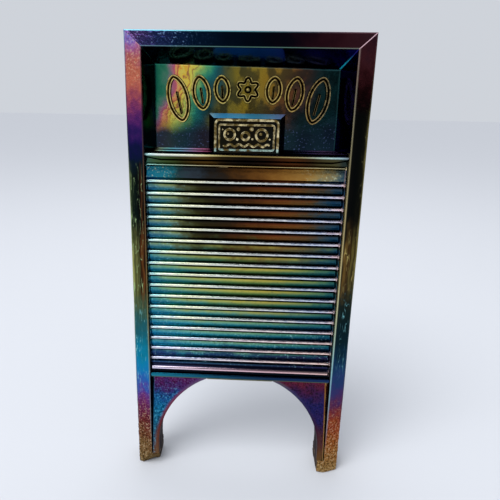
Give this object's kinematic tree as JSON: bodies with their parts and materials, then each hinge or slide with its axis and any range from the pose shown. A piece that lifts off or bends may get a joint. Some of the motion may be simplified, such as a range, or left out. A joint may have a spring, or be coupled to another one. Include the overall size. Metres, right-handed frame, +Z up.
{
  "type": "washboard",
  "caption": "Miniature standing washboard: bevelled mitred frame on two legs, recessed crest with raised leaves and badge, soap ledge, ribbed rubbing plate, arched base.",
  "frame": {"origin": "on the ground, midway between the legs and midway through the thickness", "axes": "+Z up along the legs, +Y towards the back so the ribbed front faces -Y, +X to the right seen from the front"},
  "size_m": [0.0516, 0.0086, 0.105],
  "materials": {
    "frame_glass": "black glass with an oil-slick iridescent coat, stippled near the feet and one top corner",
    "spandrel_glass": "black glass with purple and blue-teal iridescence, finely stippled",
    "crest_glass": "black glass, mirror gloss, rainbow bands at the left",
    "relief_glass": "black glass with a gold and green sheen on its edges",
    "ledge_glass": "black glass with a pale cyan and gold sheen",
    "rib_glass": "black glass, polished ribs, teal to olive to amber sheen"
  },
  "bodies": {
    "root": {"left_stile": "frame_glass", "right_stile": "frame_glass", "top_rail": "frame_glass", "bottom_rail": "frame_glass", "left_spandrel": "spandrel_glass", "right_spandrel": "spandrel_glass", "crest_panel": "crest_glass", "crest_leaves": "relief_glass", "crest_blossom": "relief_glass", "badge_block": "crest_glass", "badge_border": "relief_glass", "badge_bubbles": "relief_glass", "soap_ledge": "ledge_glass", "rubbing_plate": "rib_glass"}
  },
  "joints": []
}
